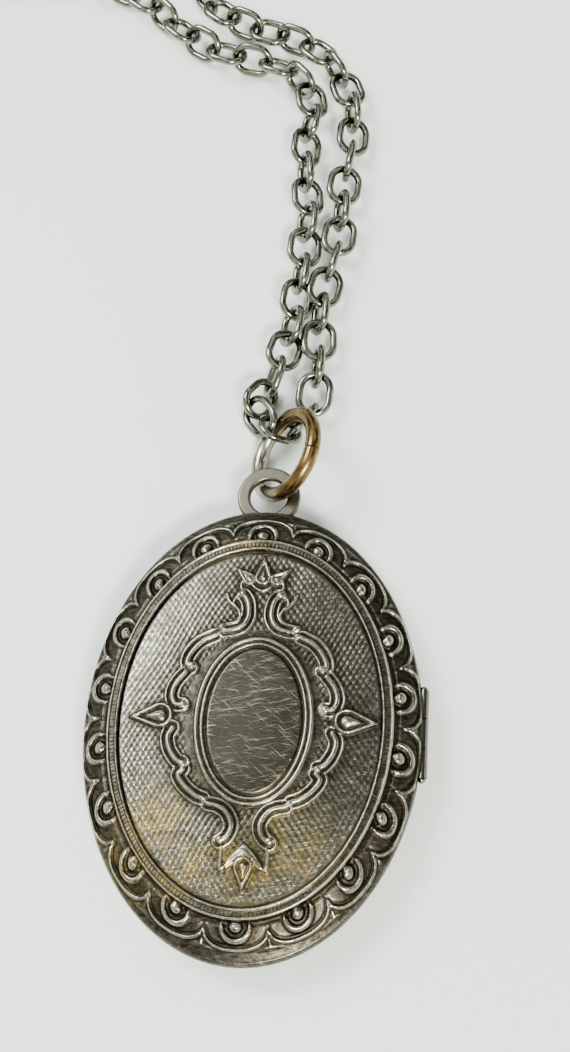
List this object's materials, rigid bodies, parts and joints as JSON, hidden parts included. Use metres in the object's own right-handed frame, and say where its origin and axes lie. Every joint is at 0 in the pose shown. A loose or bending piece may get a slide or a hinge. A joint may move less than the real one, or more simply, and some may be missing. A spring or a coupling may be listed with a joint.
{
  "type": "locket necklace",
  "caption": "Oval picture locket with raised scroll and bead relief, hinged at one side, with a bail, a split jump ring and an oval cable chain with a spring-ring clasp.",
  "frame": {"origin": "middle of the flat on the back cover, on the table", "axes": "+Z out of the front of the locket, +Y towards the bail, +X towards the hinge"},
  "size_m": [0.0876, 0.1314, 0.0061],
  "materials": {
    "front_silver": "antiqued silver plate, dark in the hollows",
    "back_silver": "worn silver plate",
    "inner_silver": "bright silver plate",
    "bail_silver": "worn silver plate",
    "ring_brass": "brass worn through its plating",
    "chain_steel": "polished, dulled",
    "clasp_steel": "polished, dulled",
    "clear_sheet": "clear sheet"
  },
  "bodies": {
    "locket_back": {"back_cover": "back_silver", "closing_band": "inner_silver", "hinge_barrels": "back_silver", "hinge_pin": "chain_steel", "back_frame": "inner_silver", "back_window": "clear_sheet", "bail_ring": "bail_silver"},
    "locket_front": {"front_cover": "front_silver", "hinge_knuckle": "front_silver", "catch_tongue": "inner_silver", "front_frame": "inner_silver", "front_window": "clear_sheet"},
    "jump_ring": {"jump_ring": "ring_brass"},
    "chain_middle": {"chain_middle": "chain_steel"},
    "clasp_tie_ring": {"clasp_tie_ring": "chain_steel"},
    "clasp": {"clasp_tube": "clasp_steel", "clasp_eye": "clasp_steel", "clasp_spring": "clasp_steel"},
    "clasp_bolt": {"clasp_bolt": "clasp_steel"},
    "end_ring": {"end_ring": "chain_steel"},
    "chain_right_1": {"chain_right_1": "chain_steel"},
    "chain_right_2": {"chain_right_2": "chain_steel"},
    "chain_right_3": {"chain_right_3": "chain_steel"},
    "chain_right_4": {"chain_right_4": "chain_steel"},
    "chain_left_1": {"chain_left_1": "chain_steel"},
    "chain_left_2": {"chain_left_2": "chain_steel"},
    "chain_left_3": {"chain_left_3": "chain_steel"},
    "chain_left_4": {"chain_left_4": "chain_steel"}
  },
  "joints": [
    {"name": "cover_hinge", "type": "hinge", "parent": "locket_back", "child": "locket_front", "pos_m": [0.0124, 0, 0.0028], "axis": [0, 1, 0], "range_deg": [0, 150]},
    {"name": "ring_swing", "type": "hinge", "parent": "locket_back", "child": "jump_ring", "pos_m": [0, 0.0185, 0.0024], "axis": [0, 0, 1], "range_deg": [-6, 6]},
    {"name": "chain_in_ring", "type": "hinge", "parent": "jump_ring", "child": "chain_middle", "pos_m": [0.00043, 0.025, 0.002], "axis": [0, 0, 1], "range_deg": [-8, 0]},
    {"name": "right_bend_1", "type": "hinge", "parent": "chain_middle", "child": "chain_right_1", "pos_m": [0.00309, 0.02913, 0.00185], "axis": [0, 0, 1], "range_deg": [-20, 0]},
    {"name": "right_bend_2", "type": "hinge", "parent": "chain_right_1", "child": "chain_right_2", "pos_m": [0.00499, 0.05392, 0.0015], "axis": [0, 0, 1], "range_deg": [-20, 0]},
    {"name": "right_bend_3", "type": "hinge", "parent": "chain_right_2", "child": "chain_right_3", "pos_m": [-0.00888, 0.07573, 0.0015], "axis": [0, 0, 1], "range_deg": [-10, 12]},
    {"name": "right_bend_4", "type": "hinge", "parent": "chain_right_3", "child": "chain_right_4", "pos_m": [0.00069, 0.08897, 0.0015], "axis": [0, 0, 1], "range_deg": [-10, 12]},
    {"name": "left_bend_1", "type": "hinge", "parent": "chain_middle", "child": "chain_left_1", "pos_m": [-0.00075, 0.02842, 0.00104], "axis": [0, 0, 1], "range_deg": [0, 9]},
    {"name": "left_bend_2", "type": "hinge", "parent": "chain_left_1", "child": "chain_left_2", "pos_m": [0.00104, 0.05282, 0.0015], "axis": [0, 0, 1], "range_deg": [0, 20]},
    {"name": "left_bend_3", "type": "hinge", "parent": "chain_left_2", "child": "chain_left_3", "pos_m": [-0.02009, 0.07031, 0.0015], "axis": [0, 0, 1], "range_deg": [-10, 12]},
    {"name": "left_bend_4", "type": "hinge", "parent": "chain_left_3", "child": "chain_left_4", "pos_m": [-0.02141, 0.08255, 0.0015], "axis": [0, 0, 1], "range_deg": [-12, 8]},
    {"name": "tie_ring_turn", "type": "hinge", "parent": "chain_right_4", "child": "clasp_tie_ring", "pos_m": [0.00073, 0.11096, 0.0015], "axis": [0, 0, 1], "range_deg": [-12, 12]},
    {"name": "clasp_turn", "type": "hinge", "parent": "clasp_tie_ring", "child": "clasp", "pos_m": [-0.00246, 0.11096, 0.001], "axis": [0, 0, 1], "range_deg": [-20, 20]},
    {"name": "clasp_bolt_pull", "type": "hinge", "parent": "clasp", "child": "clasp_bolt", "pos_m": [-0.0067, 0.11096, 0.001], "axis": [0, 0, 1], "range_deg": [0, 58], "stiffness_Nm_per_rad": 0.001, "springref_deg": -11.46},
    {"name": "end_ring_turn", "type": "hinge", "parent": "chain_left_4", "child": "end_ring", "pos_m": [-0.02537, 0.10372, 0.0015], "axis": [0, 0, 1], "range_deg": [-12, 12]}
  ]
}
